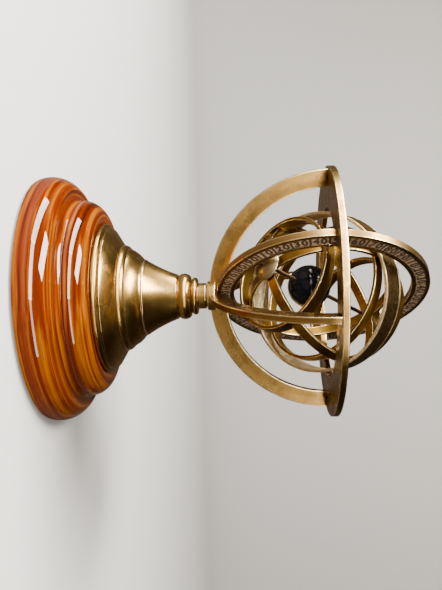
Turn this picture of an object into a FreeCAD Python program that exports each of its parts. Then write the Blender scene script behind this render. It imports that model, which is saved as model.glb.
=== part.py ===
import FreeCAD, Part
import math
import os

import Sketcher

# Tabletop armillary sphere: a turned wooden base, a brass pedestal, a cradle of two crossing
# half rings, a flat horizon ring, a graduated meridian ring, and inside it a globe of hoops
# that spins on a polar axis through a small earth ball.
# Row frame: +Z up, origin at the middle of the underside, millimetres.
# The cradle arms lie along X and Y, and the meridian ring stands on the diagonal between them.

SIZES = {
    # how far a cutting tool runs past the face it cuts
    "overshoot": 1.0,
    # felt disc and turned wooden base
    "felt_radius": 33.0,
    "felt_height": 0.8,
    "wood_foot_radius": 36.2,
    "wood_bulge": 7.6,
    "wood_shoulder_radius": 32.8,
    "wood_shoulder_height": 10,
    "wood_cove": 3.0,
    "wood_waist_radius": 28.9,
    "wood_waist_height": 11.4,
    "wood_fillet_radius": 29.5,
    "wood_fillet_height": 12,
    "wood_crown": 5.9,
    "wood_rim_radius": 24.9,
    "wood_rim_height": 17.7,
    "wood_seat_radius": 23.0,
    "wood_seat_height": 17.3,
    "wood_bore_radius": 2.3,
    "well_radius": 8.0,
    "well_height": 6.4,
    # tie rod with its nut and washer
    "tie_radius": 2.0,
    "tie_bottom": 1.6,
    "tie_top": 47,
    "nut_flats": 7.0,
    "nut_height": 3.2,
    "nut_bore_radius": 2.02,
    "washer_radius": 5.5,
    "washer_height": 1.0,
    # pedestal foot: lip and bead, straight dish, rounded step and a swell up to the cone
    "pedestal_bore_radius": 2.2,
    "lip_radius": 22.2,
    "lip_bead": 1.1,
    "lip_top_radius": 21.7,
    "lip_top_height": 19.1,
    "groove_radius": 21.0,
    "groove_height": 19.3,
    "bead_foot_radius": 21.35,
    "bead_foot_height": 19.5,
    "bead_top_radius": 20.8,
    "bead_top_height": 20.2,
    "dish_top_radius": 16.2,
    "dish_top_height": 23,
    "step_groove_radius": 15.8,
    "step_groove_height": 23.15,
    "step_foot_radius": 16.05,
    "step_foot_height": 23.35,
    "step_round": 2.2,
    "step_top_radius": 15.2,
    "step_top_height": 24.95,
    "swell_foot_radius": 14.85,
    "swell_foot_height": 25.15,
    "swell": 9.0,
    "swell_top_radius": 11.9,
    "swell_top_height": 28.75,
    "foot_top_radius": 11.5,
    "foot_top_height": 29.3,
    "cavity_radius": 19.0,
    "cavity_side_height": 18.9,
    "cavity_roof_radius": 9.5,
    "cavity_roof_height": 26.1,
    # trumpet cone
    "cone_foot_radius": 11.45,
    "cone_foot_height": 29.7,
    "cone_start_radius": 11.2,
    "cone_start_height": 29.95,
    "cone_sweep": 45.0,
    "cone_top_radius": 6.7,
    "cone_top_height": 39.1,
    # knob on the neck: a bulb with a bead over it
    "bulb_edge_radius": 6.1,
    "bulb": 2.55,
    "bulb_top_height": 42.9,
    "neck_groove_radius": 4.8,
    "neck_groove_height": 43.15,
    "bead_edge_radius": 5.2,
    "bead_edge_height": 43.4,
    "bead": 0.95,
    "knob_top_height": 45,
    # boss that holds the cradle
    "boss_groove_radius": 3.3,
    "boss_neck_radius": 3.9,
    "boss_neck_foot": 45.3,
    "boss_neck_height": 47.5,
    "boss_radius": 4.4,
    "boss_collar_foot": 47.9,
    "boss_top_height": 50.5,
    "boss_bore_radius": 2.02,
    "boss_bore_height": 47.1,
    # cradle: two crossing half rings
    "cradle_height": 83.8,
    "arm_centre_height": 84.6,
    "arm_outer_radius": 36.1,
    "arm_inner_radius": 31.1,
    "arm_thickness": 1.9,
    "lap_height": 49.5,
    "tenon_centre": 33.6,
    "tenon_width": 2.4,
    "tenon_height": 1.95,
    "saddle_height": 50.55,
    "saddle_length": 14.0,
    "joint_gap": 0.02,
    # horizon ring
    "horizon_outer_radius": 37.0,
    "horizon_inner_radius": 25.2,
    "horizon_thickness": 1.8,
    "notch_reach": 31.65,
    # meridian ring and polar axis
    "globe_height": 82.1,
    "meridian_outer_radius": 31.4,
    "meridian_inner_radius": 26.2,
    "meridian_thickness": 2.1,
    "slot_gap": 0.08,
    "pivot_hole_radius": 0.61,
    "axis_radius": 0.6,
    "axis_half_length": 31.3,
    # pole caps and spacers
    "pole_bore_radius": 0.66,
    "cap_foot": 22.95,
    "cap_radius": 4.6,
    "cap_rim": 23.35,
    "cap_dome": 5.8,
    "cap_top_radius": 1.05,
    "cap_top": 25.1,
    "spacer_radius": 1.05,
    "spacer_foot": 25.25,
    "spacer_thickness": 0.85,
    # hoops of the globe
    "hoop_width": 3.0,
    "solstice_outer_radius": 22.9,
    "solstice_inner_radius": 21.95,
    "equinox_outer_radius": 21.93,
    "equinox_inner_radius": 20.98,
    "equator_outer_radius": 20.96,
    "equator_inner_radius": 20.0,
    "colure_hole_radius": 0.8,
    "tropic_outer_radius": 17.0,
    "tropic_inner_radius": 16.0,
    "tropic_width": 3.7,
    "tropic_offset": 15.9,
    "zodiac_outer_radius": 23.8,
    "zodiac_inner_radius": 22.92,
    "zodiac_width": 7.8,
    # earth ball
    "earth_radius": 6.3,
    "earth_offset": 5.5,
    "earth_bore_radius": 0.65,
}

DIAGONAL = 229.0  # bearing of the meridian ring's plane, degrees from +X
LATITUDE = 45.0  # tilt of the polar axis over the horizon, degrees
SPIN = 99.0  # how far the globe is turned on its axis, degrees
OBLIQUITY = 20.0  # tilt of the zodiac band against the equator, degrees

X_AXIS = FreeCAD.Vector(1, 0, 0)
Y_AXIS = FreeCAD.Vector(0, 1, 0)
Z_AXIS = FreeCAD.Vector(0, 0, 1)
ORIGIN = FreeCAD.Vector(0, 0, 0)

doc = FreeCAD.newDocument("armillary_sphere")
sheet = doc.addObject("Spreadsheet::Sheet", "Sizes")
sub_parts = []


def fill_sheet():
    """Puts every driving dimension in its own aliased cell."""
    for row, (alias, value) in enumerate(SIZES.items(), start=1):
        sheet.set(f"A{row}", alias)
        sheet.set(f"B{row}", str(value))
        sheet.setAlias(f"B{row}", alias)
    doc.recompute()


def size(alias):
    """The number in the cell with this alias, in millimetres."""
    return float(sheet.get(alias))


def keep(part, label, placement=None):
    """Names a finished sub-part, puts it in its place and lists it for export."""
    part.Label = label
    if placement is not None:
        part.Placement = placement
    sub_parts.append(part)
    return part


def turn(axis, degrees):
    """A rotation about an axis through the origin."""
    return FreeCAD.Placement(ORIGIN, FreeCAD.Rotation(axis, degrees))


def lift(height):
    """A move straight up."""
    return FreeCAD.Placement(FreeCAD.Vector(0, 0, height), FreeCAD.Rotation())


def globe_placement():
    """From the globe's own frame, +Z to its north pole, to the row frame."""
    centre = lift(size("globe_height"))
    bearing = turn(Z_AXIS, DIAGONAL + 180)
    pole = turn(Y_AXIS, 90 - LATITUDE)
    return centre * bearing * pole


def hoops_placement():
    """The globe's frame turned on its axis to where the hoops rest."""
    return globe_placement() * turn(Z_AXIS, 90 - SPIN)


# ---------------------------------------------------------------- turned pieces


def arc_middle(first, last, radius):
    """Middle point of an arc between two points; a negative radius bends it inwards."""
    chord = last - first
    half = chord.Length / 2
    rise = abs(radius) - math.sqrt(radius * radius - half * half)
    side = FreeCAD.Vector(chord.y, -chord.x, 0)
    side.normalize()
    return (first + last) * 0.5 + side * math.copysign(rise, radius)


def pin_corner(sketch, index, corner, place):
    """Ties one corner of an outline to its two cells."""
    for kind, alias in zip(("DistanceX", "DistanceY"), corner):
        name = f"{kind}_{index}"
        number = sketch.addConstraint(Sketcher.Constraint(kind, -1, 1, *place, size(alias)))
        sketch.renameConstraint(number, name)
        sketch.setExpression(f"Constraints.{name}", f"Sizes.{alias}")


def turned(label, outline, placement=None):
    """A body of revolution about Z.

    outline lists (radius cell, height cell, edge) going round anticlockwise in the XZ half plane.
    edge says how the outline goes on to the next corner: None for a straight line, the alias of
    an arc's radius for a curve that swells outwards, and the same with a minus sign for a hollow.
    """
    body = doc.addObject("PartDesign::Body", label)
    sketch = body.newObject("Sketcher::SketchObject", f"{label}_outline")
    plane = [f for f in body.Origin.OriginFeatures if f.Role == "XZ_Plane"][0]
    sketch.AttachmentSupport = [(plane, "")]
    sketch.MapMode = "FlatFace"
    corners = [FreeCAD.Vector(size(r), size(z), 0) for r, z, _ in outline]
    starts = []
    ends = []
    for index, (_, _, edge) in enumerate(outline):
        first = corners[index]
        last = corners[(index + 1) % len(corners)]
        if edge is None:
            number = sketch.addGeometry(Part.LineSegment(first, last))
        else:
            alias = edge.lstrip("-")
            radius = -size(alias) if edge.startswith("-") else size(alias)
            number = sketch.addGeometry(Part.Arc(first, arc_middle(first, last, radius), last))
            name = f"Radius_{index}"
            place = sketch.addConstraint(Sketcher.Constraint("Radius", number, abs(radius)))
            sketch.renameConstraint(place, name)
            sketch.setExpression(f"Constraints.{name}", f"Sizes.{alias}")
        forward = (sketch.getPoint(number, 1) - first).Length < 1e-6
        starts.append((number, 1 if forward else 2))
        ends.append((number, 2 if forward else 1))
    for index, start in enumerate(starts):
        sketch.addConstraint(Sketcher.Constraint("Coincident", *ends[index - 1], *start))
        pin_corner(sketch, index, outline[index][:2], start)
    revolution = body.newObject("PartDesign::Revolution", f"{label}_turning")
    revolution.Profile = sketch
    revolution.ReferenceAxis = (sketch, ["V_Axis"])
    revolution.Angle = 360
    return keep(body, label, placement)


# ---------------------------------------------------------------- plain solids


def cylinder(name, radius, height, foot="0"):
    """A cylinder on Z whose radius, height and foot are expressions on the sheet."""
    solid = doc.addObject("Part::Cylinder", name)
    solid.setExpression("Radius", radius)
    solid.setExpression("Height", height)
    solid.setExpression("Placement.Base.z", foot)
    return solid


def through(name, radius, foot, length):
    """A cylinder on Z that runs a little past both ends of the length it cuts."""
    run = f"{length} + 2 * Sizes.overshoot"
    return cylinder(name, f"Sizes.{radius}", run, f"{foot} - Sizes.overshoot")


def block(name, length, width, height, middle=("0", "0"), foot="0"):
    """A box centred on a point in plan, standing on foot, all expressions on the sheet."""
    solid = doc.addObject("Part::Box", name)
    solid.setExpression("Length", length)
    solid.setExpression("Width", width)
    solid.setExpression("Height", height)
    solid.setExpression("Placement.Base.x", f"{middle[0]} - ({length}) / 2")
    solid.setExpression("Placement.Base.y", f"{middle[1]} - ({width}) / 2")
    solid.setExpression("Placement.Base.z", foot)
    return solid


def aimed(solid, placement):
    """Turns or moves a finished tool on top of the place its expressions give it."""
    carrier = doc.addObject("Part::Compound", f"{solid.Name}_aimed")
    carrier.Links = [solid]
    carrier.Placement = placement
    return carrier


def cut(name, base, tools):
    """The base with each tool taken out of it in turn."""
    result = base
    for index, tool in enumerate(tools):
        step = doc.addObject("Part::Cut", f"{name}_cut_{index}")
        step.Base = result
        step.Tool = tool
        result = step
    return result


def joined(name, solids):
    """Several solids as one."""
    result = doc.addObject("Part::MultiFuse", f"{name}_joined")
    result.Shapes = solids
    return result


def hoop(name, outer, inner, width, middle="0"):
    """A flat-walled ring on Z, its width centred on middle."""
    foot = f"{middle} - Sizes.{width} / 2"
    rim = cylinder(f"{name}_rim", f"Sizes.{outer}", f"Sizes.{width}", foot)
    hollow = through(f"{name}_hollow", inner, foot, f"Sizes.{width}")
    return cut(name, rim, [hollow])


def centre_hole(name, radius, reach):
    """A drilling on Z through the origin and out past reach on both sides."""
    return through(name, radius, f"-Sizes.{reach}", f"2 * Sizes.{reach}")


# ---------------------------------------------------------------- base


def make_base():
    """Felt disc and turned wooden base with a well for the nut."""
    keep(cylinder("felt_pad", "Sizes.felt_radius", "Sizes.felt_height"), "felt_pad")
    turned(
        "wood_base",
        [
            ("well_radius", "felt_height", None),
            ("wood_foot_radius", "felt_height", "wood_bulge"),
            ("wood_shoulder_radius", "wood_shoulder_height", "-wood_cove"),
            ("wood_waist_radius", "wood_waist_height", None),
            ("wood_fillet_radius", "wood_fillet_height", "wood_crown"),
            ("wood_rim_radius", "wood_rim_height", None),
            ("wood_seat_radius", "wood_seat_height", None),
            ("wood_bore_radius", "wood_seat_height", None),
            ("wood_bore_radius", "well_height", None),
            ("well_radius", "well_height", None),
        ],
    )


def make_tie():
    """Rod up the middle of the stand, with the washer and hexagon nut that pull it tight."""
    rod_length = "Sizes.tie_top - Sizes.tie_bottom"
    keep(cylinder("tie_rod", "Sizes.tie_radius", rod_length, "Sizes.tie_bottom"), "tie_rod")
    washer_foot = "Sizes.well_height - Sizes.washer_height"
    disc = cylinder("washer_disc", "Sizes.washer_radius", "Sizes.washer_height", washer_foot)
    hole = cylinder("washer_hole", "Sizes.nut_bore_radius", "Sizes.washer_height", washer_foot)
    keep(cut("base_washer", disc, [hole]), "base_washer")
    nut_foot = f"{washer_foot} - Sizes.nut_height"
    hexagon = doc.addObject("Part::Prism", "nut_hexagon")
    hexagon.Polygon = 6
    hexagon.setExpression("Circumradius", "Sizes.nut_flats / 2 / cos(30 deg)")
    hexagon.setExpression("Height", "Sizes.nut_height")
    hexagon.setExpression("Placement.Base.z", nut_foot)
    bore = cylinder("nut_bore", "Sizes.nut_bore_radius", "Sizes.nut_height", nut_foot)
    keep(cut("base_nut", hexagon, [bore]), "base_nut")


# ---------------------------------------------------------------- pedestal


def make_pedestal():
    """Brass foot, trumpet cone and knob, stacked on the tie rod."""
    turned(
        "pedestal_foot",
        [
            ("cavity_radius", "wood_seat_height", None),
            ("lip_radius", "wood_seat_height", "lip_bead"),
            ("lip_top_radius", "lip_top_height", None),
            ("groove_radius", "groove_height", None),
            ("bead_foot_radius", "bead_foot_height", None),
            ("bead_top_radius", "bead_top_height", None),
            ("dish_top_radius", "dish_top_height", None),
            ("step_groove_radius", "step_groove_height", None),
            ("step_foot_radius", "step_foot_height", "step_round"),
            ("step_top_radius", "step_top_height", None),
            ("swell_foot_radius", "swell_foot_height", "swell"),
            ("swell_top_radius", "swell_top_height", None),
            ("foot_top_radius", "foot_top_height", None),
            ("pedestal_bore_radius", "foot_top_height", None),
            ("pedestal_bore_radius", "cavity_roof_height", None),
            ("cavity_roof_radius", "cavity_roof_height", None),
            ("cavity_radius", "cavity_side_height", None),
        ],
    )
    turned(
        "pedestal_cone",
        [
            ("pedestal_bore_radius", "foot_top_height", None),
            ("cone_foot_radius", "foot_top_height", None),
            ("cone_foot_radius", "cone_foot_height", None),
            ("cone_start_radius", "cone_start_height", "-cone_sweep"),
            ("cone_top_radius", "cone_top_height", None),
            ("pedestal_bore_radius", "cone_top_height", None),
        ],
    )
    turned(
        "neck_knob",
        [
            ("pedestal_bore_radius", "cone_top_height", None),
            ("bulb_edge_radius", "cone_top_height", "bulb"),
            ("bulb_edge_radius", "bulb_top_height", None),
            ("neck_groove_radius", "neck_groove_height", None),
            ("bead_edge_radius", "bead_edge_height", "bead"),
            ("bead_edge_radius", "knob_top_height", None),
            ("pedestal_bore_radius", "knob_top_height", None),
        ],
    )


# ---------------------------------------------------------------- cradle


def make_boss():
    """Collar with cross slots in its top that hold the two half rings."""
    core = cylinder(
        "boss_core",
        "Sizes.boss_groove_radius",
        "Sizes.boss_top_height - Sizes.knob_top_height",
        "Sizes.knob_top_height",
    )
    neck = cylinder(
        "boss_neck",
        "Sizes.boss_neck_radius",
        "Sizes.boss_neck_height - Sizes.boss_neck_foot",
        "Sizes.boss_neck_foot",
    )
    collar = cylinder(
        "boss_collar",
        "Sizes.boss_radius",
        "Sizes.boss_top_height - Sizes.boss_collar_foot",
        "Sizes.boss_collar_foot",
    )
    bore = cylinder(
        "boss_bore",
        "Sizes.boss_bore_radius",
        "Sizes.boss_bore_height - Sizes.knob_top_height",
        "Sizes.knob_top_height",
    )
    slot_foot = "Sizes.arm_centre_height - Sizes.arm_outer_radius - Sizes.joint_gap"
    width = "Sizes.arm_thickness + 2 * Sizes.joint_gap"
    reach = "2 * Sizes.boss_radius + 2 * Sizes.overshoot"
    slots = [
        block("boss_slot_x", reach, width, "Sizes.boss_radius", foot=slot_foot),
        block("boss_slot_y", width, reach, "Sizes.boss_radius", foot=slot_foot),
    ]
    body = joined("boss", [core, neck, collar])
    keep(cut("cradle_boss", body, [bore] + slots), "cradle_boss")


def half_ring(label, bearing, lap_foot, lap_height):
    """One cradle piece: the lower half of a flat ring with a tenon at each end and a half lap at the bottom.

    It is built along X standing on its lowest point and then turned to its bearing.
    """
    plate = hoop(label, "arm_outer_radius", "arm_inner_radius", "arm_thickness")
    upright = FreeCAD.Placement(ORIGIN, FreeCAD.Rotation(X_AXIS, 90))
    standing = aimed(plate, lift(size("arm_centre_height")) * upright)
    above = block(
        f"{label}_above",
        "2 * Sizes.arm_outer_radius + 2 * Sizes.overshoot",
        "Sizes.arm_thickness + 2 * Sizes.overshoot",
        "Sizes.arm_outer_radius + 2 * Sizes.overshoot",
        foot="Sizes.cradle_height",
    )
    lap = block(
        f"{label}_lap",
        "Sizes.arm_thickness + 2 * Sizes.joint_gap",
        "Sizes.arm_thickness + 2 * Sizes.overshoot",
        lap_height,
        foot=lap_foot,
    )
    saddle = block(
        f"{label}_saddle",
        "Sizes.saddle_length",
        "Sizes.meridian_thickness + 2 * Sizes.slot_gap",
        "Sizes.saddle_length",
        foot="Sizes.saddle_height",
    )
    across = aimed(saddle, turn(Z_AXIS, DIAGONAL - bearing))
    half = cut(label, standing, [above, lap, across])
    tenons = []
    for side, sign in (("near", "-"), ("far", "")):
        tenons.append(
            block(
                f"{label}_{side}_tenon",
                "Sizes.tenon_width",
                "Sizes.arm_thickness",
                "Sizes.tenon_height + Sizes.overshoot",
                middle=(f"{sign}Sizes.tenon_centre", "0"),
                foot="Sizes.cradle_height - Sizes.overshoot",
            )
        )
    keep(joined(label, [half] + tenons), label, turn(Z_AXIS, bearing))


def make_cradle():
    """The boss and the two half rings that cross over it."""
    make_boss()
    bottom = "Sizes.arm_centre_height - Sizes.arm_outer_radius"
    half_ring("cradle_arm_side", 0, "Sizes.lap_height", "Sizes.arm_outer_radius")
    below = f"Sizes.lap_height + Sizes.joint_gap - ({bottom}) + Sizes.overshoot"
    half_ring("cradle_arm_front", 90, f"{bottom} - Sizes.overshoot", below)


def make_horizon():
    """Flat ring on the cradle's tenons, notched on the diagonal for the meridian ring."""
    thickness = "Sizes.horizon_thickness"
    middle = f"Sizes.cradle_height + {thickness} / 2"
    ring = hoop(
        "horizon", "horizon_outer_radius", "horizon_inner_radius", "horizon_thickness", middle
    )
    tools = []
    width = "Sizes.tenon_width + 2 * Sizes.joint_gap"
    depth = "Sizes.arm_thickness + 2 * Sizes.joint_gap"
    for index in range(4):
        mortise = block(
            f"mortise_{index}",
            width,
            depth,
            f"{thickness} + 2 * Sizes.overshoot",
            middle=("Sizes.tenon_centre", "0"),
            foot="Sizes.cradle_height - Sizes.overshoot",
        )
        tools.append(aimed(mortise, turn(Z_AXIS, 90 * index)))
    notch = block(
        "meridian_notch",
        "2 * Sizes.notch_reach",
        "Sizes.meridian_thickness + 2 * Sizes.slot_gap",
        f"{thickness} + 2 * Sizes.overshoot",
        foot="Sizes.cradle_height - Sizes.overshoot",
    )
    tools.append(aimed(notch, turn(Z_AXIS, DIAGONAL)))
    keep(cut("horizon_ring", ring, tools), "horizon_ring")


# ---------------------------------------------------------------- meridian and axis


def make_meridian():
    """Upright ring on the diagonal, drilled through at both poles for the axis."""
    plate = hoop(
        "meridian", "meridian_outer_radius", "meridian_inner_radius", "meridian_thickness"
    )
    upright = FreeCAD.Placement(ORIGIN, FreeCAD.Rotation(X_AXIS, 90))
    on_edge = aimed(plate, upright)
    hole = centre_hole("pole_hole", "pivot_hole_radius", "meridian_outer_radius")
    keep(cut("meridian_ring", on_edge, [hole]), "meridian_ring", globe_placement())


def make_axis():
    """Polar axis pressed into the meridian ring, and a short spacer at each end of the globe."""
    length = "2 * Sizes.axis_half_length"
    rod = cylinder("axis_needle", "Sizes.axis_radius", length, "-Sizes.axis_half_length")
    keep(aimed(rod, lift(0)), "axis_rod", globe_placement())
    for pole, flip in (("north", 0), ("south", 180)):
        name = f"{pole}_spacer"
        disc = cylinder(
            f"{name}_disc",
            "Sizes.spacer_radius",
            "Sizes.spacer_thickness",
            "Sizes.spacer_foot",
        )
        hole = cylinder(
            f"{name}_hole",
            "Sizes.pole_bore_radius",
            "Sizes.spacer_thickness",
            "Sizes.spacer_foot",
        )
        keep(cut(name, disc, [hole]), name, globe_placement() * turn(Y_AXIS, flip))


# ---------------------------------------------------------------- globe of hoops


def make_caps():
    """Domed cap over each pole, where the colures cross."""
    for pole, flip in (("north", 0), ("south", 180)):
        turned(
            f"{pole}_cap",
            [
                ("pole_bore_radius", "cap_foot", None),
                ("cap_radius", "cap_foot", None),
                ("cap_radius", "cap_rim", "cap_dome"),
                ("cap_top_radius", "cap_top", None),
                ("pole_bore_radius", "cap_top", None),
            ],
            globe_placement() * turn(Y_AXIS, flip),
        )


def colure(label, outer, inner, bearing):
    """An upright hoop through both poles, drilled for the axis."""
    ring = aimed(hoop(label, outer, inner, "hoop_width"), turn(Y_AXIS, 90))
    hole = centre_hole(f"{label}_hole", "colure_hole_radius", outer)
    keep(cut(f"{label}_drilled", ring, [hole]), label, hoops_placement() * turn(Z_AXIS, bearing))


def tropic(label, flip):
    """A parallel hoop, notched from its lower edge where the colures pass through its wall."""
    ring = hoop(
        label, "tropic_outer_radius", "tropic_inner_radius", "tropic_width", "Sizes.tropic_offset"
    )
    width = "Sizes.hoop_width + 2 * Sizes.joint_gap"
    tools = []
    for name, outer, bearing in (
        ("solstice", "solstice_outer_radius", 0),
        ("equinox", "equinox_outer_radius", 90),
    ):
        disc = cylinder(
            f"{label}_{name}", f"Sizes.{outer} + Sizes.joint_gap", width, f"-({width}) / 2"
        )
        tools.append(aimed(disc, turn(Z_AXIS, bearing) * turn(Y_AXIS, 90)))
    keep(cut(f"{label}_notched", ring, tools), label, hoops_placement() * turn(X_AXIS, flip))


def make_globe():
    """Nested hoops: two colures, equator, two tropics and the wide zodiac band."""
    make_caps()
    colure("solstice_colure", "solstice_outer_radius", "solstice_inner_radius", 0)
    colure("equinox_colure", "equinox_outer_radius", "equinox_inner_radius", 90)
    equator = hoop("equator", "equator_outer_radius", "equator_inner_radius", "hoop_width")
    keep(aimed(equator, lift(0)), "equator_ring", hoops_placement())
    tropic("north_tropic", 0)
    tropic("south_tropic", 180)
    zodiac = hoop("zodiac", "zodiac_outer_radius", "zodiac_inner_radius", "zodiac_width")
    keep(
        aimed(zodiac, lift(0)), "zodiac_band", hoops_placement() * turn(X_AXIS, -OBLIQUITY)
    )


def make_earth():
    """Small ball that slides on the axis; it rests below the middle, towards the south pole."""
    ball = doc.addObject("Part::Sphere", "earth_round")
    ball.setExpression("Radius", "Sizes.earth_radius")
    bore = centre_hole("earth_bore", "earth_bore_radius", "earth_radius")
    place = globe_placement() * lift(-size("earth_offset"))
    keep(cut("earth_drilled", ball, [bore]), "earth_ball", place)


# ---------------------------------------------------------------- checks and export


def check_document():
    """Stops on any failed object or any sub-part without a sound shape."""
    for item in doc.Objects:
        if "Invalid" in item.State or "Error" in item.State:
            raise RuntimeError(f"{item.Label} did not build: {item.State}")
    for part in sub_parts:
        shape = part.Shape
        if shape.isNull() or not shape.isValid() or shape.Volume <= 0:
            raise RuntimeError(f"{part.Label} has no sound shape")


def export():
    """Writes one STEP file for each sub-part and prints its volume and box."""
    os.makedirs("parts", exist_ok=True)
    for part in sub_parts:
        part.Shape.exportStep(f"parts/{part.Label}.step")
        box = part.Shape.BoundBox
        print(
            f"{part.Label}: {len(part.Shape.Solids)} solid, {part.Shape.Volume:.1f} mm3,"
            f" x {box.XMin:.2f}..{box.XMax:.2f} y {box.YMin:.2f}..{box.YMax:.2f}"
            f" z {box.ZMin:.2f}..{box.ZMax:.2f}"
        )


fill_sheet()
make_base()
make_tie()
make_pedestal()
make_cradle()
make_horizon()
make_meridian()
make_axis()
make_globe()
make_earth()
doc.recompute()
check_document()
export()
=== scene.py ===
import logging
import math
from collections.abc import Callable, Iterable, Sequence
from dataclasses import dataclass, field, replace
from enum import Enum

import bmesh
import bpy
from mathutils import Matrix, Vector


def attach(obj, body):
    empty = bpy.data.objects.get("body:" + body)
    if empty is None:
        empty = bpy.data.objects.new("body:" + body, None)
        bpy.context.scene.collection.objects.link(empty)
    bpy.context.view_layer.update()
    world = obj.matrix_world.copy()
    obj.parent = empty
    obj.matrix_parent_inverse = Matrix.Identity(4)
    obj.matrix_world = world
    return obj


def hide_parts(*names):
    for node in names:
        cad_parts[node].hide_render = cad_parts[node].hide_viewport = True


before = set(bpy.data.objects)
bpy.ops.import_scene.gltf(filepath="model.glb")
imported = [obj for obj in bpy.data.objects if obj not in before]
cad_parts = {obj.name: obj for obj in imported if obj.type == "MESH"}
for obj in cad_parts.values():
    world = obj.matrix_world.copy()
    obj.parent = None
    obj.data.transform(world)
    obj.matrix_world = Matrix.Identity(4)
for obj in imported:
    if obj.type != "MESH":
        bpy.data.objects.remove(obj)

log = logging.getLogger("armillary_sphere")

MM = 0.001
SHARP_BEND = math.radians(28)
ROUNDING_STEPS = 3

Flat = tuple[float, float]
Rimmed = tuple[float, float, float]
Colour = tuple[float, float, float, float]


class Body(Enum):
    """The moving bodies of the object."""

    STAND = "stand"
    MERIDIAN = "meridian"
    GLOBE = "globe"
    EARTH = "earth"


class Pole(Enum):
    """An end of the polar axis, with the half turn that aims +Z at it."""

    NORTH = 0
    SOUTH = 180


# ------------------------------------------------------------------ outlines


def arc_points(first: Flat, last: Flat, radius: float, steps: int) -> list[Flat]:
    """Points along an arc between two points.

    Args:
        first: where the arc starts.
        last: where it ends.
        radius: its radius; positive swells to the right of the way from first to last, negative
            to the left.
        steps: how many chords it is made of.

    Returns:
        The points after first, up to and including last.
    """
    start = Vector(first)
    end = Vector(last)
    chord = end - start
    half = chord.length / 2
    side = Vector((chord.y, -chord.x)).normalized() * math.copysign(1, radius)
    rise = abs(radius) - math.sqrt(radius * radius - half * half)
    centre = (start + end) / 2 + side * (rise - abs(radius))
    first_angle = math.atan2(start.y - centre.y, start.x - centre.x)
    last_angle = math.atan2(end.y - centre.y, end.x - centre.x)
    turn = (last_angle - first_angle + math.pi) % math.tau - math.pi
    points = []
    for step in range(1, steps + 1):
        angle = first_angle + turn * step / steps
        points.append(
            (centre.x + abs(radius) * math.cos(angle), centre.y + abs(radius) * math.sin(angle))
        )
    return points


def spoke(angle: float, inner: float, outer: float) -> tuple[Vector, Vector]:
    """Inner and outer point at an angle on the plane Z = 0."""
    across = Vector((math.cos(angle), math.sin(angle), 0))
    return across * inner, across * outer


@dataclass
class Outline:
    """A closed outline drawn corner by corner, in millimetres."""

    points: list[Flat]

    def line(self, *corners: Flat) -> "Outline":
        """Goes on in straight lines through these corners."""
        self.points.extend(corners)
        return self

    def curve(self, last: Flat, radius: float, steps: int = 20) -> "Outline":
        """Goes on in an arc to last; a negative radius makes a hollow."""
        self.points.extend(arc_points(self.points[-1], last, radius, steps))
        return self

    def softened(self, radius: float, shoulder: float = 0.25) -> list[Rimmed]:
        """Rounds every sharp corner and marks it.

        Args:
            radius: how far the rounding reaches along each side of a corner, in millimetres.
            shoulder: how far past the rounding the mark fades out, in millimetres.

        Returns:
            The outline's points, each with a mark: 1 on an outer corner, -1 in an inner one and 0
            elsewhere.
        """
        count = len(self.points)
        around = sum(
            self.points[i - 1][0] * self.points[i][1] - self.points[i][0] * self.points[i - 1][1]
            for i in range(count)
        )
        soft: list[Rimmed] = []
        for index in range(count):
            corner = Vector(self.points[index])
            back = Vector(self.points[index - 1]) - corner
            ahead = Vector(self.points[(index + 1) % count]) - corner
            if back.angle(-ahead) < SHARP_BEND:
                soft.append((corner.x, corner.y, 0.0))
                continue
            reach = min(radius, 0.3 * back.length, 0.3 * ahead.length)
            fade = min(shoulder, 0.15 * back.length, 0.15 * ahead.length)
            bend = ahead.x * back.y - ahead.y * back.x
            mark = 1.0 if bend * around > 0 else -1.0
            into = corner + back.normalized() * reach
            out = corner + ahead.normalized() * reach
            outer_in = into + back.normalized() * fade
            outer_out = out + ahead.normalized() * fade
            soft.append((outer_in.x, outer_in.y, 0.0))
            for step in range(ROUNDING_STEPS + 1):
                t = step / ROUNDING_STEPS
                point = into * (1 - t) ** 2 + corner * 2 * t * (1 - t) + out * t * t
                soft.append((point.x, point.y, mark))
            soft.append((outer_out.x, outer_out.y, 0.0))
        return soft


def box_outline(low: Flat, high: Flat) -> Outline:
    """A rectangle between two corners, going round anticlockwise."""
    return Outline([low, (high[0], low[1]), high, (low[0], high[1])])


# ------------------------------------------------------------------ meshes


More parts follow.
